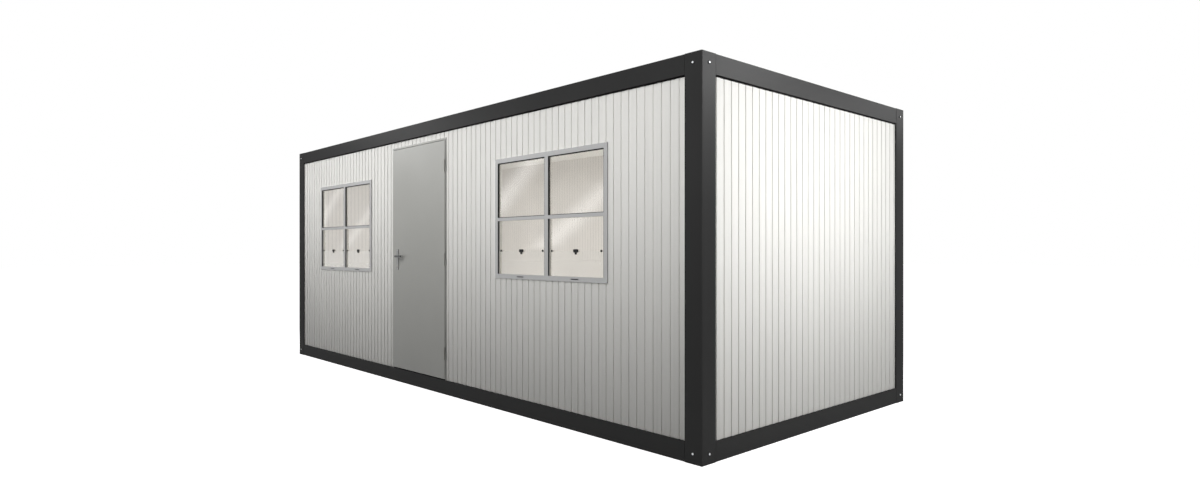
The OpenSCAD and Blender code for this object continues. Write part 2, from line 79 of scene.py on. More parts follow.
class CabinFinishes(bpy.types.PropertyGroup):
    """Colours of the cabin's surfaces."""

    steel: colour_property("Frame steel", "Powder coat of posts and beams", "#2d2d2d")
    cladding: colour_property("Cladding", "Coil coating of the ribbed outer sheets", "#ecebe7")
    lining: colour_property("Lining", "Laminate of the inner wall boards", "#e6e2dd")
    ceiling: colour_property("Ceiling", "Coating of the ceiling panel", "#eeece6")
    flooring: colour_property("Flooring", "Sheet flooring on the deck", "#8d8579")
    door: colour_property("Door", "Enamel of the leaf, its frame and hinges", "#a3a39e")
    aluminium: colour_property("Aluminium", "Anodised window sections", "#a6a6a6")
    window_white: colour_property("Window white", "Coating of the window's inner sections", "#f0eee8")
    handle_plate: colour_property("Handle plates", "Satin metal of the two plates", "#8c8d8c")
    # The levers are the plates' satin metal drawn darker: painted shade of their shaded undersides
    handle_lever_painted_shade: colour_property("Levers", "Darker satin metal of the levers", "#4a4b4c")
    zinc: colour_property("Zinc", "Bright zinc plate of bolts and screws", "#e8eaec")
    galvanised: colour_property("Galvanised steel", "Roof sheet, joists and floor sheet", "#a4a9ac")


class CabinFixings(bpy.types.PropertyGroup):
    """Sizes of the bolts, screws, seals, caps and lock parts."""

    bolt_diameter: length_property("Bolt head", "Width of the bolt heads on the posts", 13)
    bolt_height: length_property("Bolt head height", "Height of the bolt heads", 5)
    bolt_washer: length_property("Bolt washer", "Width of the washers under the bolt heads", 22)
    bolt_inset: length_property("Bolt inset", "Distance of the bolts from the post ends", 64)
    screw_diameter: length_property("Roof screw", "Width of the roof screw heads", 9)
    screw_washer: length_property("Roof washer", "Width of the washers of the roof screws", 19)
    screws_per_rib: IntProperty(
        name="Screws a rib", description="Roof screws along each rib", default=5, min=2, max=12
    )
    seal_setback: length_property("Seal setback", "Depth of the roof seal behind the beam face", 18)
    stop_cap: length_property("Stop cap", "Width of the caps on the stops of the sliding panes", 18)
    cylinder_diameter: length_property("Lock cylinder", "Width of the lock cylinder", 17)
    cylinder_drop: length_property("Lock drop", "Distance of the lock cylinder below the lever", 92)


class CabinStage(bpy.types.PropertyGroup):
    """Camera and lights."""

    camera_place: FloatVectorProperty(
        name="Camera place", description="Where the camera stands", default=(5.910, -4.742, 1.299),
        subtype="TRANSLATION", unit="LENGTH", size=3,
    )
    camera_heading: FloatProperty(
        name="Camera heading", description="Turn of the camera about the upright axis",
        default=math.radians(46.90), subtype="ANGLE",
    )
    lens: FloatProperty(
        name="Lens", description="Focal length on a 36 mm sensor", default=21.466, unit="CAMERA"
    )
    front_power: FloatProperty(
        name="Front light", description="Power of the soft light before the front", default=36,
        unit="POWER",
    )
    fill_power: FloatProperty(
        name="Front fill", description="Power of the farther light before the front", default=17.5,
        unit="POWER",
    )
    end_power: FloatProperty(
        name="End light", description="Power of the soft light before the right end", default=37.5,
        unit="POWER",
    )
    end_sheen_power: FloatProperty(
        name="End sheen", description="Power of the small light that glosses the near corner", default=8,
        unit="POWER",
    )
    front_sheen_power: FloatProperty(
        name="Front sheen", description="Power of the small light that glosses the door", default=4.2,
        unit="POWER",
    )
    rear_power: FloatProperty(
        name="Rear light", description="Power of the lights behind and left", default=60, unit="POWER"
    )
    roof_power: FloatProperty(
        name="Roof light", description="Power of the light over the roof", default=60, unit="POWER"
    )
    room_power: FloatProperty(
        name="Room light", description="Power of each lamp inside", default=49, unit="POWER"
    )
    glint_strength: FloatProperty(
        name="Glint", description="Strength of the soft bands that the panes mirror", default=2.9
    )
    sky_strength: FloatProperty(
        name="Sky", description="Strength of the even light from all round", default=0.14
    )
    floor_half: FloatProperty(
        name="Floor", description="Half of the floor's side", default=60, unit="LENGTH"
    )


def finishes():
    return bpy.context.scene.cabin_finishes


def fixings():
    return bpy.context.scene.cabin_fixings


def stage_settings():
    return bpy.context.scene.cabin_stage


def add_node(tree, kind, settings=None, links=None):
    """Adds a node, sets its fields and sockets, and links its inputs to sockets made before."""
    node = tree.nodes.new(kind)
    for key, value in (settings or {}).items():
        if isinstance(key, str) and hasattr(node, key):
            setattr(node, key, value)
        else:
            node.inputs[key].default_value = value
    for key, socket in (links or {}).items():
        tree.links.new(socket, node.inputs[key])
    return node


def new_material(name):
    """A material with an empty tree, its output node and an Object coordinate socket."""
    material = bpy.data.materials.new(name)
    material.use_nodes = True
    tree = material.node_tree
    tree.nodes.clear()
    output = add_node(tree, "ShaderNodeOutputMaterial")
    place = add_node(tree, "ShaderNodeTexCoord").outputs["Object"]
    return material, tree, output, place


def noise(tree, place, grain, detail=2.0, stretch=(1, 1, 1)):
    """Noise whose grain is that many metres, stretched along the axes."""
    mapped = add_node(tree, "ShaderNodeMapping", {"Scale": stretch}, {"Vector": place}).outputs[0]
    settings = {"Scale": 1 / grain, "Detail": detail}
    return add_node(tree, "ShaderNodeTexNoise", settings, {"Vector": mapped}).outputs["Fac"]


def remap(tree, value, low, high, new_low, new_high):
    settings = {"From Min": low, "From Max": high, "To Min": new_low, "To Max": new_high}
    return add_node(tree, "ShaderNodeMapRange", settings, {"Value": value}).outputs[0]


def shaded_colour(tree, colour, amount, factor):
    """The colour, darkened by up to amount where factor is 0."""
    dark = tuple(c * (1 - amount) for c in colour)
    settings = {"data_type": "RGBA", 6: (*dark, 1), 7: (*colour, 1)}
    return add_node(tree, "ShaderNodeMix", settings, {0: factor}).outputs[2]


def bump(tree, height, distance, strength=1.0, normal=None):
    links = {"Height": height}
    if normal is not None:
        links["Normal"] = normal
    settings = {"Distance": distance, "Strength": strength}
    return add_node(tree, "ShaderNodeBump", settings, links).outputs[0]


def principled(tree, output, settings, links):
    shader = add_node(tree, "ShaderNodeBsdfPrincipled", settings, links)
    tree.links.new(shader.outputs[0], output.inputs["Surface"])
    return shader


def line_pattern(tree, place, axis, pitch, width):
    """0 in lines of that width, once a pitch along an axis, and 1 between them."""
    along = add_node(tree, "ShaderNodeSeparateXYZ", {}, {0: place}).outputs[axis]
    scaled = add_node(tree, "ShaderNodeMath", {"operation": "DIVIDE", 1: pitch}, {0: along}).outputs[0]
    share = add_node(tree, "ShaderNodeMath", {"operation": "FRACT"}, {0: scaled}).outputs[0]
    middle = add_node(tree, "ShaderNodeMath", {"operation": "SUBTRACT", 1: 0.5}, {0: share}).outputs[0]
    away = add_node(tree, "ShaderNodeMath", {"operation": "ABSOLUTE"}, {0: middle}).outputs[0]
    half = width / pitch / 2
    return remap(tree, away, half * 0.4, half, 0, 1)


def powder_coated_steel(name, colour, roughness=0.36, coat=0.11):
    """Matt powder coat baked on steel: even and dark, with a soft sheen only where a light is mirrored."""
    material, tree, output, place = new_material(name)
    patches = remap(tree, noise(tree, place, 0.6, 3), 0.35, 0.65, 0, 1)
    # The real dimples are 1 to 2 mm wide and are drawn 6 mm wide so that they show
    peel = bump(tree, noise(tree, place, 6 * MM), 0.15 * MM, 0.6)
    links = {
        "Base Color": shaded_colour(tree, colour, 0.10, patches),
        "Normal": peel,
        "Coat Normal": peel,
    }
    settings = {
        "Roughness": 0.8,
        "Specular IOR Level": 0.0,
        "Coat Weight": coat,
        "Coat Roughness": roughness,
        "Coat IOR": 2.0,
    }
    principled(tree, output, settings, links)
    return material


def enamelled_steel(name, colour):
    """Stove enamel on sheet steel: satin, evenly pale, with the slightest orange peel."""
    material, tree, output, place = new_material(name)
    patches = remap(tree, noise(tree, place, 0.6, 3), 0.35, 0.65, 0, 1)
    links = {
        "Base Color": shaded_colour(tree, colour, 0.04, patches),
        "Roughness": remap(tree, patches, 0, 1, 0.43, 0.38),
        "Normal": bump(tree, noise(tree, place, 6 * MM), 0.12 * MM, 0.5),
    }
    principled(tree, output, {"IOR": 1.5}, links)
    return material


def coil_coated_sheet(name, colour):
    """Sheet coated before it is rolled: smooth, satin, with faint streaks along the rolling direction."""
    material, tree, output, place = new_material(name)
    streaks = remap(tree, noise(tree, place, 0.05, 2, (1, 1, 0.04)), 0.3, 0.7, 0, 1)
    waves = noise(tree, place, 0.25, 1, (1, 1, 0.5))
    links = {
        "Base Color": shaded_colour(tree, colour, 0.035, streaks),
        "Roughness": remap(tree, streaks, 0, 1, 0.62, 0.55),
        "Normal": bump(tree, waves, 0.6 * MM, 0.5),
    }
    principled(tree, output, {"IOR": 1.5}, links)
    return material


def laminated_board(name, colour, axis):
    """Wall boards faced with matt laminate: a groove every 50 mm along the wall, drawn darker as painted
    shade in it, over a random mottle.
    """
    material, tree, output, place = new_material(name)
    joints = line_pattern(tree, place, axis, 50 * MM, 10 * MM)
    mottle = remap(tree, noise(tree, place, 0.3, 3), 0.3, 0.7, 0.75, 1)
    both = add_node(
        tree, "ShaderNodeMath", {"operation": "MULTIPLY"}, {0: joints, 1: mottle}
    ).outputs[0]
    links = {
        # Darker in each groove: painted shade there; the mottle is random tone
        "Base Color": shaded_colour(tree, colour, 0.28, both),
        "Normal": bump(tree, joints, 1 * MM),
    }
    principled(tree, output, {"Roughness": 0.6}, links)
    return material


def sheet_flooring(name, colour):
    """Vinyl sheet flooring: matt, with a speckle of chips a few millimetres across."""
    material, tree, output, place = new_material(name)
    chips = add_node(tree, "ShaderNodeTexVoronoi", {"Scale": 1 / (8 * MM)}, {"Vector": place})
    value = add_node(tree, "ShaderNodeSeparateColor", {}, {0: chips.outputs["Color"]}).outputs[0]
    links = {"Base Color": shaded_colour(tree, colour, 0.35, value)}
    principled(tree, output, {"Roughness": 0.55}, links)
    return material


def galvanised_sheet(name, colour):
    """Hot-dip galvanised steel: zinc crystals some 15 mm across, each with its own tone and gloss."""
    material, tree, output, place = new_material(name)
    crystals = add_node(tree, "ShaderNodeTexVoronoi", {"Scale": 1 / (15 * MM)}, {"Vector": place})
    tone = add_node(tree, "ShaderNodeSeparateColor", {}, {0: crystals.outputs["Color"]}).outputs[0]
    links = {
        "Base Color": shaded_colour(tree, colour, 0.25, tone),
        "Roughness": remap(tree, tone, 0, 1, 0.55, 0.38),
    }
    principled(tree, output, {"Metallic": 1.0}, links)
    return material


def anodised_aluminium(name, colour):
    """Extruded aluminium, anodised: a soft grey metal sheen with fine die lines along the section."""
    material, tree, output, place = new_material(name)
    grain = noise(tree, place, 3 * MM, 2)
    links = {
        "Base Color": shaded_colour(tree, colour, 0.05, grain),
        "Roughness": remap(tree, grain, 0.3, 0.7, 0.5, 0.42),
        "Normal": bump(tree, grain, 0.05 * MM, 0.5),
    }
    principled(tree, output, {"Metallic": 0.7}, links)
    return material


def satin_metal(name, colour, metallic=1.0, roughness=0.35):
    """Turned and plated metal: bright and even, with a slight brushed unevenness."""
    material, tree, output, place = new_material(name)
    grain = noise(tree, place, 2 * MM, 2)
    links = {
        "Base Color": shaded_colour(tree, colour, 0.06, grain),
        "Roughness": remap(tree, grain, 0.3, 0.7, roughness + 0.06, roughness - 0.04),
    }
    principled(tree, output, {"Metallic": metallic}, links)
    return material


def moulded_black(name, colour, roughness):
    """Black EPDM rubber or moulded nylon: dull black with a fine tooth from the mould."""
    material, tree, output, place = new_material(name)
    tooth = noise(tree, place, 1.5 * MM, 2)
    links = {
        "Base Color": shaded_colour(tree, colour, 0.3, tooth),
        "Normal": bump(tree, tooth, 0.05 * MM, 0.5),
    }
    principled(tree, output, {"Roughness": roughness, "Specular IOR Level": 0.2}, links)
    return material


def float_glass(name):
    """Clear float glass: smooth, slightly grey, with a trace of roller waviness in its reflections."""
    material, tree, output, place = new_material(name)
    waves = noise(tree, place, 0.35, 1)
    settings = {
        "Base Color": (0.95, 0.95, 0.94, 1),
        "Roughness": 0.02,
        "IOR": 1.5,
        "Transmission Weight": 1.0,
    }
    glass = add_node(
        tree, "ShaderNodeBsdfPrincipled", settings, {"Normal": bump(tree, waves, 0.2 * MM, 0.3)}
    )
    clear = add_node(tree, "ShaderNodeBsdfTransparent", {"Color": (0.92, 0.92, 0.9, 1)})
    shadow = add_node(tree, "ShaderNodeLightPath").outputs["Is Shadow Ray"]
    both = add_node(tree, "ShaderNodeMixShader", {}, {0: shadow, 1: glass.outputs[0], 2: clear.outputs[0]})
    tree.links.new(both.outputs[0], output.inputs["Surface"])
    return material


def dress(material, *nodes):
    """Gives a CAD node's faces one material."""
    for name in nodes:
        slots = frame["nodes"][name].material_slots
        for slot in slots:
            slot.material = material
        if not slots:
            frame["nodes"][name].data.materials.append(material)


def deselect():
    bpy.ops.object.select_all(action="DESELECT")


def pick_faces(test):
    """In edit mode, selects only the faces that pass a test."""
    mesh = bpy.context.object.data
    edit = bmesh.from_edit_mesh(mesh)
    for face in edit.faces:
        face.select_set(bool(test(face)))
    edit.select_flush_mode()
    bmesh.update_edit_mesh(mesh)


def edit_mode():
    bpy.ops.object.mode_set(mode="EDIT")
    bpy.ops.mesh.select_mode(type="FACE")


def object_mode():
    bpy.ops.object.mode_set(mode="OBJECT")


def settle(piece, name):
    """Moves the piece's place into its mesh and names it."""
    deselect()
    piece.select_set(True)
    bpy.context.view_layer.objects.active = piece
    bpy.ops.object.transform_apply(location=True, rotation=True, scale=True)
    piece.name = name
    piece.data.name = name
    return piece


def finish_piece(piece, name, material, body):
    """Names a piece, gives it its material and slot, and lets it ride on a body."""
    settle(piece, name)
    if material is not None:
        piece.data.materials.clear()
        piece.data.materials.append(material)
    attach(piece, body)
    return piece


def bevel_edges(piece, width, segments=2, angle=math.radians(40)):
    """Rounds the sharp edges by a bevel that is applied."""
    deselect()
    piece.select_set(True)
    bpy.context.view_layer.objects.active = piece
    modifier = piece.modifiers.new("Bevel", "BEVEL")
    modifier.width = width
    modifier.segments = segments
    modifier.limit_method = "ANGLE"
    modifier.angle_limit = angle
    bpy.ops.object.modifier_apply(modifier=modifier.name)
    bpy.ops.object.shade_smooth_by_angle(angle=math.radians(35))


def join_pieces(pieces):
    """Joins pieces into the first of them."""
    deselect()
    for piece in pieces:
        piece.select_set(True)
    bpy.context.view_layer.objects.active = pieces[0]
    if len(pieces) > 1:
        bpy.ops.object.join()
    return bpy.context.view_layer.objects.active


def copies(template, places, name):
    """Copies a piece to every place, each with its own mesh, joins them and removes the first."""
    made = []
    for place in places:
        copy = template.copy()
        copy.data = template.data.copy()
        copy.data.transform(place)
        bpy.context.scene.collection.objects.link(copy)
        made.append(copy)
    bpy.data.objects.remove(template)
    joined = join_pieces(made)
    joined.name = name
    return joined


def facing(point, normal):
    """Matrix that puts a piece made upright about the origin at a point, pointing along a normal."""
    turn = Vector((0, 0, 1)).rotation_difference(Vector(normal)).to_matrix().to_4x4()
    return Matrix.Translation(Vector(point)) @ turn


def round_head(diameter, height, dish, vertices=24):
    """A round head that stands on z = 0, with a raised crown and a dished socket."""
    deselect()
    bpy.ops.mesh.primitive_cylinder_add(
        vertices=vertices, radius=diameter / 2, depth=height, location=(0, 0, height / 2)
    )
    head = bpy.context.object
    bpy.ops.object.transform_apply(location=True)
    edit_mode()
    pick_faces(lambda f: f.normal.z > 0.9)
    bpy.ops.mesh.inset(thickness=diameter * 0.12)
    bpy.ops.transform.translate(value=(0, 0, height * 0.25))
    bpy.ops.mesh.inset(thickness=diameter * 0.14)
    bpy.ops.mesh.extrude_region_move(TRANSFORM_OT_translate={"value": (0, 0, -dish)})
    object_mode()
    bpy.ops.object.shade_smooth_by_angle(angle=math.radians(30))
    return head


def washer(diameter, thickness, vertices=24):
    """A flat washer with a chamfered rim that stands on z = 0."""
    deselect()
    bpy.ops.mesh.primitive_cylinder_add(
        vertices=vertices, radius=diameter / 2, depth=thickness, location=(0, 0, thickness / 2)
    )
    disc = bpy.context.object
    bpy.ops.object.transform_apply(location=True)
    edit_mode()
    pick_faces(lambda f: f.normal.z > 0.9)
    bpy.ops.mesh.inset(thickness=diameter * 0.06)
    bpy.ops.transform.translate(value=(0, 0, thickness * WASHER_RISE))
    object_mode()
    return disc


class CABIN_OT_steel_finish(bpy.types.Operator):
    """Coat the posts and beams, and galvanise the roof sheet and what is under the floor"""

    bl_idname = "cabin.steel_finish"
    bl_label = "Steel finish"

    def execute(self, context):
        steel = powder_coated_steel("powder_coated_steel", finishes().steel)
        coated = [n for n in frame["nodes"] if "_beam_" in n or n.startswith("corner_post")]
        dress(steel, *coated)
        galvanised = galvanised_sheet("galvanised_sheet", finishes().galvanised)
        dress(galvanised, "roof_sheet", "floor_joists", "underfloor_sheet")
        return {"FINISHED"}


class CABIN_OT_wall_finish(bpy.types.Operator):
    """Finish the ribbed cladding, the inner boards, the ceiling and the floor"""

    bl_idname = "cabin.wall_finish"
    bl_label = "Wall, ceiling and floor finish"

    def execute(self, context):
        nodes = frame["nodes"]
        dress(coil_coated_sheet("coil_coated_sheet", finishes().cladding),
              *[n for n in nodes if "cladding" in n])
        dress(laminated_board("laminated_board_long", finishes().lining, 0),
              "back_wall", "front_wall_left", "front_wall_right", "front_wall_over_door")
        dress(laminated_board("laminated_board_end", finishes().lining, 1),
              "left_end_wall", "right_end_wall")
        dress(laminated_board("ceiling_panel_laminate", finishes().ceiling, 0), "ceiling_panel")
        dress(sheet_flooring("sheet_flooring", finishes().flooring), "floor_deck")
        return {"FINISHED"}


class CABIN_OT_door_finish(bpy.types.Operator):
    """Enamel the door, its frame and hinges, and finish the handle"""

    bl_idname = "cabin.door_finish"
    bl_label = "Door finish"

    def execute(self, context):
        enamel = enamelled_steel("door_enamel", finishes().door)
        dress(enamel, "door_frame", "door_leaf", "hinge_frame_halves", "hinge_leaf_halves")
        dress(satin_metal("satin_plate_metal", finishes().handle_plate, 0.6, 0.4), "handle_plates")
        # The levers' darker colour is painted shade on the plates' satin metal
        dress(satin_metal("satin_lever_metal_painted_shade", finishes().handle_lever_painted_shade, 0.8, 0.38),
              "door_lever_outside", "door_lever_inside")
        return {"FINISHED"}


class CABIN_OT_window_finish(bpy.types.Operator):
    """Finish the window frames, gaskets, glass and catches"""

    bl_idname = "cabin.window_finish"
    bl_label = "Window finish"

    def execute(self, context):
        dress(anodised_aluminium("anodised_aluminium", finishes().aluminium),
              "window_frame_left", "window_frame_right")
        dress(enamelled_steel("white_coated_aluminium", finishes().window_white),
              "window_liner_left", "window_liner_right")
        dress(moulded_black("gasket_rubber", srgb("#1a1a1a"), 0.7),
              "window_gaskets_left", "window_gaskets_right")
        dress(moulded_black("black_nylon", srgb("#0a0a0a"), 0.5), "window_catches")
        dress(float_glass("float_glass"),
              "window_glass_left", "window_glass_right", "vent_glass_left", "vent_glass_right")
        return {"FINISHED"}


def small_islands(node, largest):
    """The low and high corners of a node's loose parts up to that size, in the order of their places."""
    joined = bmesh.new()
    joined.from_mesh(frame["nodes"][node].data)
    bmesh.ops.remove_doubles(joined, verts=joined.verts, dist=0.05 * MM)
    waiting = set(joined.verts)
    boxes = []
    while waiting:
        reached = [waiting.pop()]
        part = list(reached)
        while reached:
            for edge in reached.pop().link_edges:
                for vertex in edge.verts:
                    if vertex in waiting:
                        waiting.discard(vertex)
                        reached.append(vertex)
                        part.append(vertex)
        low = Vector([min(v.co[i] for v in part) for i in range(3)])
        high = Vector([max(v.co[i] for v in part) for i in range(3)])
        if max(high - low) < largest:
            boxes.append((low, high))
    joined.free()
    return sorted(boxes, key=lambda box: tuple(box[0]))


class CABIN_OT_stop_caps(bpy.types.Operator):
    """Push a black cap on each round stop of the sliding panes"""

    bl_idname = "cabin.stop_caps"
    bl_label = "Stop caps"

    def execute(self, context):
        stops = small_islands("window_catches", fixings().stop_cap)
        if not stops:
            raise RuntimeError("the window catches have no round stops")
        places = [
            facing(((low.x + high.x) / 2, low.y, (low.z + high.z) / 2), (0, -1, 0)) for low, high in stops
        ]
        caps = copies(round_head(fixings().stop_cap, 2 * MM, 0.5 * MM), places, "vent_stop_caps")
        finish_piece(caps, "vent_stop_caps", bpy.data.materials["black_nylon"], "root")
        return {"FINISHED"}


class CABIN_OT_corner_bolts(bpy.types.Operator):
    """Put a bolt head and washer near both ends of each outer post face"""

    bl_idname = "cabin.corner_bolts"
    bl_label = "Corner bolts"

    def execute(self, context):
        sizes = fixings()
        places = []
        for name in (n for n in frame["nodes"] if n.startswith("corner_post")):
            low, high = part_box(name)
            middle = (low + high) / 2
            side = Vector((math.copysign(1, middle.x), math.copysign(1, middle.y)))
            for z in (low.z + sizes.bolt_inset, high.z - sizes.bolt_inset):
                outer_x = high.x if side.x > 0 else low.x
                outer_y = high.y if side.y > 0 else low.y
                places.append(facing((outer_x, middle.y, z), (side.x, 0, 0)))
                places.append(facing((middle.x, outer_y, z), (0, side.y, 0)))
        if not places:
            raise RuntimeError("the frame has no corner posts")
        thickness = 1.5 * MM
        ring = copies(washer(sizes.bolt_washer, thickness), places, "corner_bolt_washers")
        dark = satin_metal("black_oxide_washer", srgb("#2b2c2d"), 0.8, 0.5)
        finish_piece(ring, "corner_bolt_washers", dark, "root")
        lifted = [place @ Matrix.Translation((0, 0, thickness * (1 + WASHER_RISE))) for place in places]
        head = round_head(sizes.bolt_diameter, sizes.bolt_height * 0.6, 0.8 * MM)
        heads = copies(head, lifted, "corner_bolt_heads")
        bright = satin_metal("bright_zinc", finishes().zinc, 0.6, 0.3)
        finish_piece(heads, "corner_bolt_heads", bright, "root")
        return {"FINISHED"}


class CABIN_OT_roof_seals(bpy.types.Operator):
    """Lay a black foam seal in the gap between each wall panel and the roof beam over it, its black also a
    painted shadow line for the shade in that gap
    """

    bl_idname = "cabin.roof_seals"
    bl_label = "Roof seals"

    def execute(self, context):
        # Black rubber: a real seal whose black also paints the shadow line under each roof beam
        rubber = bpy.data.materials["gasket_rubber"]
        depth = 16 * MM
        skins = {
            "front": "front_cladding_left",
            "back": "back_cladding",
            "left": "left_end_cladding",
            "right": "right_end_cladding",
        }
        made = []
        for side, skin in skins.items():
            if skin not in frame["nodes"]:
                raise RuntimeError("no wall under the beam on side " + side)
            low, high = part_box("roof_beam_" + side)
            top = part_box(skin)[1].z
            along_x = side in ("front", "back")
            outward = -1 if side in ("front", "left") else 1
            face = (low if outward < 0 else high)[1 if along_x else 0]
            centre = face - outward * (fixings().seal_setback + depth / 2)
            span = (high - low)[0 if along_x else 1]
            gap = low.z - top
            place = (0, centre, top + gap / 2) if along_x else (centre, 0, top + gap / 2)
            size = (span, depth, gap) if along_x else (depth, span, gap)
            deselect()
            bpy.ops.mesh.primitive_cube_add(size=1, location=place, scale=size)
            strip = bpy.context.object
            bpy.ops.object.transform_apply(location=True, rotation=True, scale=True)
            normal = Vector((0, outward, 0)) if along_x else Vector((outward, 0, 0))
            edit_mode()
            pick_faces(lambda f: f.normal.dot(normal) > 0.9)
            bpy.ops.mesh.inset(thickness=gap * 0.22)
            bpy.ops.transform.translate(value=tuple(normal * 2 * MM))
            object_mode()
            made.append(strip)
        finish_piece(join_pieces(made), "roof_seals", rubber, "root")
        return {"FINISHED"}


class CABIN_OT_roof_screws(bpy.types.Operator):
    """Fix the roof sheet with rows of washered screws along its ribs"""

    bl_idname = "cabin.roof_screws"
    bl_label = "Roof screws"

    def execute(self, context):
        sizes = fixings()
        sheet = frame["nodes"]["roof_sheet"].data
        low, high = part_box("roof_sheet")
        crests = sorted({round(v.co.x, 4) for v in sheet.vertices if v.co.z > high.z - 0.5 * MM})
        middles = [(a + b) / 2 for a, b in zip(crests[::2], crests[1::2])]
        if not middles:
            raise RuntimeError("the roof sheet has no ribs")
        # Distance of the outer screws from the sheet's edges
        margin = 120 * MM
        count = sizes.screws_per_rib
        step = (high.y - low.y - 2 * margin) / (count - 1)
        places = [
            Matrix.Translation((x, low.y + margin + i * step, high.z))
            for x in middles for i in range(count)
        ]
        thickness = 1 * MM
        disc = copies(washer(sizes.screw_washer, thickness, 12), places, "roof_screw_washers")
        finish_piece(disc, "roof_screw_washers", bpy.data.materials["gasket_rubber"], "root")
        lifted = [place @ Matrix.Translation((0, 0, thickness * (1 + WASHER_RISE))) for place in places]
        head = copies(round_head(sizes.screw_diameter, 2.2 * MM, 0.4 * MM, 6), lifted, "roof_screw_heads")
        zinc = bpy.data.materials["bright_zinc"]
        finish_piece(head, "roof_screw_heads", zinc, "root")
        return {"FINISHED"}


class CABIN_OT_door_seal(bpy.types.Operator):
    """Fit the black seal against the door stop, where the leaf closes on it"""

    bl_idname = "cabin.door_seal"
    bl_label = "Door seal"

    def execute(self, context):
        leaf_low, leaf_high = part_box("door_leaf")
        frame_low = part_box("door_frame")[0]
        seal_width = 9 * MM
        seal_depth = 5.2 * MM
        # Gap between the leaf and its stop
        stop_gap = 6 * MM
        # Height of the threshold
        threshold = 20 * MM
        # How far the stop reaches behind the leaf
        stop_cover = 12 * MM
        inset = 1 * MM
        stop_face = leaf_high.y + stop_gap
        low = Vector((leaf_low.x + inset, stop_face, frame_low.z + threshold - stop_cover))
        high = Vector((leaf_high.x - inset, stop_face, leaf_high.z - inset))
        middle = (low + high) / 2
        deselect()
        bpy.ops.mesh.primitive_plane_add(size=1, location=middle, rotation=(math.radians(90), 0, 0))
        ring = bpy.context.object
        ring.scale = (high.x - low.x, high.z - low.z, 1)
        bpy.ops.object.transform_apply(location=True, rotation=True, scale=True)
        edit_mode()
        bpy.ops.mesh.select_all(action="SELECT")
        bpy.ops.mesh.inset(thickness=seal_width)
        bpy.ops.mesh.delete(type="FACE")
        bpy.ops.mesh.select_all(action="SELECT")
        bpy.ops.mesh.extrude_region_move(TRANSFORM_OT_translate={"value": (0, -seal_depth, 0)})
        bpy.ops.mesh.select_all(action="SELECT")
        bpy.ops.mesh.normals_make_consistent(inside=False)
        object_mode()
        bevel_edges(ring, 1.4 * MM, 3, math.radians(60))
        finish_piece(ring, "door_seal", bpy.data.materials["gasket_rubber"], "root")
        return {"FINISHED"}


class CABIN_OT_door_lock(bpy.types.Operator):
    """Put the lock cylinder and the plate screws on both handle plates"""

    bl_idname = "cabin.door_lock"
    bl_label = "Lock cylinder and plate screws"

    def execute(self, context):
        sizes = fixings()
        low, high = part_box("handle_plates")
        lever_low, lever_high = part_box("door_lever_inside")
        lever_height = (lever_low.z + lever_high.z) / 2
        middle = (low.x + high.x) / 2
        faces = ((low.y, -1), (high.y, 1))
        lock_height = lever_height - sizes.cylinder_drop
        cylinder = round_head(sizes.cylinder_diameter, 2.4 * MM, 0.3 * MM, 32)
        places = [facing((middle, y, lock_height), (0, side, 0)) for y, side in faces]
        barrels = copies(cylinder, places, "lock_cylinders")
        finish_piece(barrels, "lock_cylinders", satin_metal("nickel_plate", srgb("#b8b6b0"), 1.0, 0.3),
                     "door")
        # A black bar on each cylinder face for the keyway: painted shade of its hollow
        deselect()
        bpy.ops.mesh.primitive_cube_add(
            size=1, location=(0, 0, 2.9 * MM), scale=(2 * MM, 8 * MM, 0.6 * MM)
        )
        slot = bpy.context.object
        bpy.ops.object.transform_apply(location=True, rotation=True, scale=True)
        bevel_edges(slot, 0.25 * MM, 2)
        slots = copies(slot, places, "key_slots_painted_shade")
        finish_piece(slots, "key_slots_painted_shade", bpy.data.materials["black_nylon"], "door")
        # Distance of the screws from the plate's ends
        inset = 10 * MM
        screw_places = [
            facing((middle, y, z), (0, side, 0))
            for y, side in faces for z in (low.z + inset, high.z - inset)
        ]
        screws = copies(round_head(7 * MM, 1.4 * MM, 0.7 * MM, 16), screw_places, "plate_screws")
        finish_piece(screws, "plate_screws", bpy.data.materials["bright_zinc"], "door")
        return {"FINISHED"}


class CABIN_OT_hinge_caps(bpy.types.Operator):
    """Close the ends of the hinge knuckles with turned caps"""

    bl_idname = "cabin.hinge_caps"
    bl_label = "Hinge caps"

    def execute(self, context):
        enamel = bpy.data.materials["door_enamel"]
        hinge = next(j for j in frame["joints"] if j["name"] == "door_swing")
        x, y = hinge["pos_m"][:2]
        for node, body, top in (("hinge_leaf_halves", "door", True), ("hinge_frame_halves", "root", False)):
            mesh = frame["nodes"][node].data
            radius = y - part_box(node)[0].y
            rim = [
                v.co.z for v in mesh.vertices
                if abs(math.hypot(v.co.x - x, v.co.y - y) - radius) < 0.2 * MM
            ]
            levels = sorted({round(z, 3) for z in rim})
            ends = levels[1::2] if top else levels[::2]
            direction = 1 if top else -1
            cap = round_head(radius * 2 * 0.9, 2.5 * MM, 0.2 * MM, 24)
            places = [facing((x, y, z), (0, 0, direction)) for z in ends]
            caps = copies(cap, places, "caps")
            finish_piece(caps, "hinge_caps_" + ("upper" if top else "lower"), enamel, body)
        return {"FINISHED"}


def soft_light(name, place, target, size, power, spread=180, glossy=True):
    """An area light that the camera doesn't see, its long side level."""
    lamp = bpy.data.lights.new(name, "AREA")
    lamp.shape = "RECTANGLE"
    lamp.size, lamp.size_y = size
    lamp.energy = power
    lamp.spread = math.radians(spread)
    holder = bpy.data.objects.new(name, lamp)
    bpy.context.scene.collection.objects.link(holder)
    holder.location = place
    holder.rotation_euler = (Vector(target) - Vector(place)).to_track_quat("-Z", "Y").to_euler()
    holder.visible_camera = False
    holder.visible_transmission = False
    holder.visible_glossy = glossy
    return holder


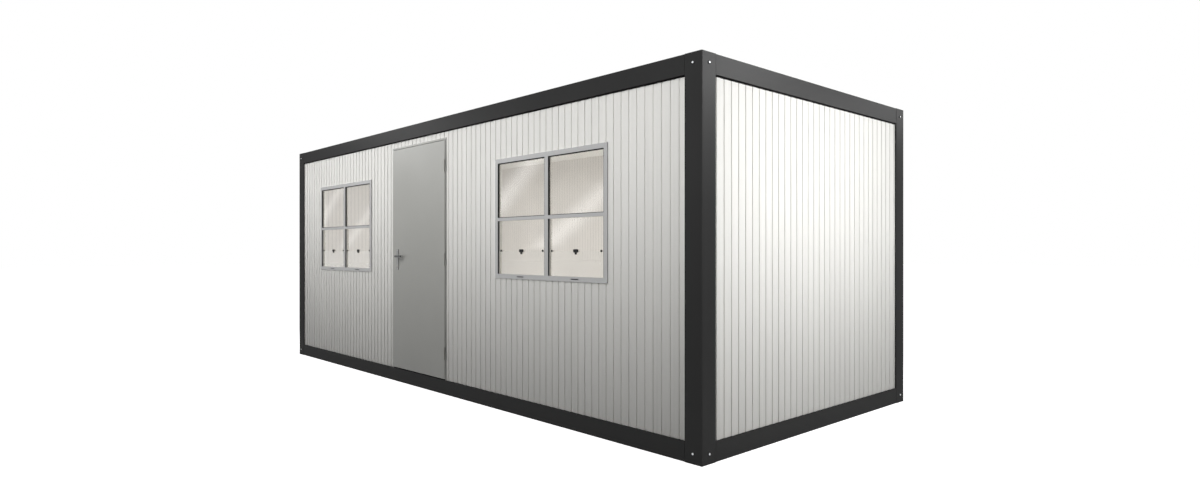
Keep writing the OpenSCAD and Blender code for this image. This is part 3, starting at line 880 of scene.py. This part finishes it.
def seen_directly(tree):
    """1 for what the camera sees by itself, in a reflection or through glass."""
    path = add_node(tree, "ShaderNodeLightPath").outputs
    first = add_node(
        tree, "ShaderNodeMath", {"operation": "MAXIMUM"},
        {0: path["Is Camera Ray"], 1: path["Is Glossy Ray"]},
    ).outputs[0]
    return add_node(
        tree, "ShaderNodeMath", {"operation": "MAXIMUM"}, {0: first, 1: path["Is Transmission Ray"]}
    ).outputs[0]


def studio_floor_material():
    """Pale studio floor: white to the eye, with the object's shadow on it, and dim as a light source."""
    material, tree, output, _ = new_material("studio_floor")
    seen = seen_directly(tree)
    dull = add_node(tree, "ShaderNodeBsdfDiffuse", {"Color": (0.16, 0.16, 0.16, 1)})
    pale = add_node(tree, "ShaderNodeBsdfDiffuse", {"Color": (0.8, 0.8, 0.8, 1)})
    glow = add_node(tree, "ShaderNodeEmission", {"Color": (1, 1, 1, 1), "Strength": 0.92})
    lit = add_node(tree, "ShaderNodeAddShader", {}, {0: pale.outputs[0], 1: glow.outputs[0]})
    both = add_node(tree, "ShaderNodeMixShader", {}, {0: seen, 1: dull.outputs[0], 2: lit.outputs[0]})
    tree.links.new(both.outputs[0], output.inputs["Surface"])
    return material


def glint_card_material(strength):
    """A soft band of light along the middle of a card, brightest in the middle and nothing at its rim."""
    material, tree, output, _ = new_material("studio_glint_card")
    parts = add_node(tree, "ShaderNodeSeparateXYZ", {}, {0: add_node(tree, "ShaderNodeUVMap").outputs[0]})
    fades = []
    # Share of the card that fades at each side, across the band and along it
    for axis, rim in ((0, 0.5), (1, 0.12)):
        middle = add_node(
            tree, "ShaderNodeMath", {"operation": "SUBTRACT", 1: 0.5}, {0: parts.outputs[axis]}
        ).outputs[0]
        away = add_node(tree, "ShaderNodeMath", {"operation": "ABSOLUTE"}, {0: middle}).outputs[0]
        settings = {"interpolation_type": "SMOOTHSTEP", "From Min": 0.5, "From Max": 0.5 - rim}
        fades.append(add_node(tree, "ShaderNodeMapRange", settings, {"Value": away}).outputs[0])
    band = add_node(
        tree, "ShaderNodeMath", {"operation": "MULTIPLY"}, {0: fades[0], 1: fades[1]}
    ).outputs[0]
    glow = add_node(tree, "ShaderNodeEmission", {"Color": (1, 1, 1, 1), "Strength": 1 + strength})
    clear = add_node(tree, "ShaderNodeBsdfTransparent")
    both = add_node(tree, "ShaderNodeMixShader", {}, {0: band, 1: clear.outputs[0], 2: glow.outputs[0]})
    tree.links.new(both.outputs[0], output.inputs["Surface"])
    return material


# Soft bands that the panes mirror: both ends and half the width, as shares of the glass's box
GLINTS = (((-0.14, 0.46), (0.50, 1.12), 0.22), ((0.42, 0.205), (1.15, 0.795), 0.22))
# Y of the upright plane that the cards stand in, well in front of the cabin
CARD_PLANE = -7.0


def mirrored_place(pane, shares, plane):
    """Where a card in an upright plane shows in a pane, as the camera sees it."""
    low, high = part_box(pane)
    point = Vector((low.x + shares[0] * (high.x - low.x), low.y, low.z + shares[1] * (high.z - low.z)))
    ray = point - Vector(stage_settings().camera_place)
    away = (plane - point.y) / -ray.y
    return Vector((point.x + ray.x * away, plane, point.z + ray.z * away))


class CABIN_OT_stage(bpy.types.Operator):
    """Set the floor, the lights, the white surround and the camera"""

    bl_idname = "cabin.stage"
    bl_label = "Stage"

    def execute(self, context):
        settings = stage_settings()
        scene = context.scene
        deselect()
        bpy.ops.mesh.primitive_plane_add(size=2 * settings.floor_half)
        floor = bpy.context.object
        floor.name = "studio_floor"
        floor.data.materials.append(studio_floor_material())

        world = bpy.data.worlds.new("studio_surround")
        scene.world = world
        world.use_nodes = True
        tree = world.node_tree
        tree.nodes.clear()
        output = add_node(tree, "ShaderNodeOutputWorld")
        seen = seen_directly(tree)
        even = add_node(tree, "ShaderNodeBackground", {"Strength": settings.sky_strength})
        white = add_node(tree, "ShaderNodeBackground", {"Strength": 1.0})
        for background in (even, white):
            background.inputs["Color"].default_value = (1, 1, 1, 1)
        both = add_node(tree, "ShaderNodeMixShader", {}, {0: seen, 1: even.outputs[0], 2: white.outputs[0]})
        tree.links.new(both.outputs[0], output.inputs["Surface"])

        front, end = settings.front_power, settings.end_power
        sheen, rear, room = settings.end_sheen_power, settings.rear_power, settings.room_power
        # Name, place, target, size, power, spread in degrees, and whether metal mirrors the lamp
        for row in (
            ("front_soft", (-0.3, -3.37, 4.13), (-0.3, -1.37, 2.19), (8.1, 2.0), front, 45, True),
            ("front_fill", (0.2, -6.4, 1.6), (0.2, -1.37, 2.24), (8.2, 0.6),
             settings.fill_power, 62, False),
            ("end_soft", (5.46, 0, 2.0), (3.2, 0, 1.92), (4.0, 0.8), end, 172, False),
            ("end_fill", (5.8, 0.2, 1.5), (3.2, 0.2, 1.6), (4.0, 0.8), end * 0.3, 80, False),
            ("end_sheen", (5.7, 1.9, 3.5), (3.2, -1.3, 2.35), (1.4, 0.6), sheen, 70, True),
            ("end_far_sheen", (5.7, 5.2, 3.4), (3.2, 0.6, 2.35), (3.6, 0.6), sheen * 1.2, 70, True),
            ("front_sheen", (-5.2, -4.0, 3.4), (-0.2, -1.37, 2.3), (1.6, 0.6),
             settings.front_sheen_power, 70, True),
            ("back_soft", (0, 6.4, 1.9), (0, 1.37, 2.0), (8.2, 0.6), rear, 80, False),
            ("left_soft", (-5.9, 0, 2.2), (-3.2, 0, 1.92), (3.0, 0.8), rear, 172, False),
            ("roof_soft", (0, 0, 5.6), (0, 0.001, 2.5), (6.4, 2.4), settings.roof_power, 60, False),
            ("room_down", (0, 0, 2.3), (0, 0.001, 0), (5.4, 1.8), room * 0.25, 180, False),
            ("room_up", (0, 0, 0.25), (0, 0.001, 2.4), (5.4, 1.8), room, 180, False),
        ):
            soft_light(*row)
        number = 0
        # The left window is seen at a flatter angle, where glass mirrors some three times as much
        for pane, share in (("window_glass_left", 0.3), ("window_glass_right", 1.0)):
            card_finish = glint_card_material(settings.glint_strength * share)
            for low, high, width in GLINTS:
                number += 1
                ends = [mirrored_place(pane, point, CARD_PLANE) for point in (low, high)]
                reach = mirrored_place(pane, (low[0] + width, low[1]), CARD_PLANE) - ends[0]
                deselect()
                bpy.ops.mesh.primitive_plane_add(size=1)
                card = bpy.context.object
                card.name = f"studio_glint_card_{number}"
                corners = (ends[0] - reach, ends[0] + reach, ends[1] - reach, ends[1] + reach)
                for vertex, corner in zip(card.data.vertices, corners):
                    vertex.co = corner
                card.data.materials.append(card_finish)
                card.visible_camera = False
                card.visible_diffuse = False
                card.visible_shadow = False
                card.visible_transmission = False

        camera = bpy.data.objects.new("camera", bpy.data.cameras.new("camera"))
        scene.collection.objects.link(camera)
        camera.location = settings.camera_place
        camera.rotation_euler = (math.radians(90), 0, settings.camera_heading)
        camera.data.sensor_width = 36
        camera.data.lens = settings.lens
        camera.data.clip_end = 500
        scene.camera = camera
        scene.view_settings.view_transform = "Standard"
        return {"FINISHED"}


STEPS = (
    CABIN_OT_steel_finish,
    CABIN_OT_wall_finish,
    CABIN_OT_door_finish,
    CABIN_OT_window_finish,
    CABIN_OT_stop_caps,
    CABIN_OT_corner_bolts,
    CABIN_OT_roof_seals,
    CABIN_OT_roof_screws,
    CABIN_OT_door_seal,
    CABIN_OT_door_lock,
    CABIN_OT_hinge_caps,
    CABIN_OT_stage,
)
GROUPS = (
    ("cabin_finishes", CabinFinishes),
    ("cabin_fixings", CabinFixings),
    ("cabin_stage", CabinStage),
)


class CABIN_PT_sidebar(bpy.types.Panel):
    """Lists the cabin's settings and steps"""

    bl_label = "Site Cabin"
    bl_idname = "CABIN_PT_sidebar"
    bl_space_type = "VIEW_3D"
    bl_region_type = "UI"
    bl_category = "Site Cabin"

    def draw(self, context):
        layout = self.layout
        for name, group in GROUPS:
            box = layout.box()
            settings = getattr(context.scene, name)
            for key in group.__annotations__:
                box.prop(settings, key)
        for step in STEPS:
            layout.operator(step.bl_idname)


def register():
    for name, group in GROUPS:
        bpy.utils.register_class(group)
        setattr(bpy.types.Scene, name, PointerProperty(type=group))
    for cls in (*STEPS, CABIN_PT_sidebar):
        bpy.utils.register_class(cls)


def unregister():
    for cls in (CABIN_PT_sidebar, *reversed(STEPS)):
        bpy.utils.unregister_class(cls)
    for name, group in reversed(GROUPS):
        delattr(bpy.types.Scene, name)
        bpy.utils.unregister_class(group)


def main():
    register()
    for step in STEPS:
        group, name = step.bl_idname.split(".")
        getattr(getattr(bpy.ops, group), name)()


if __name__ == "__main__":
    main()
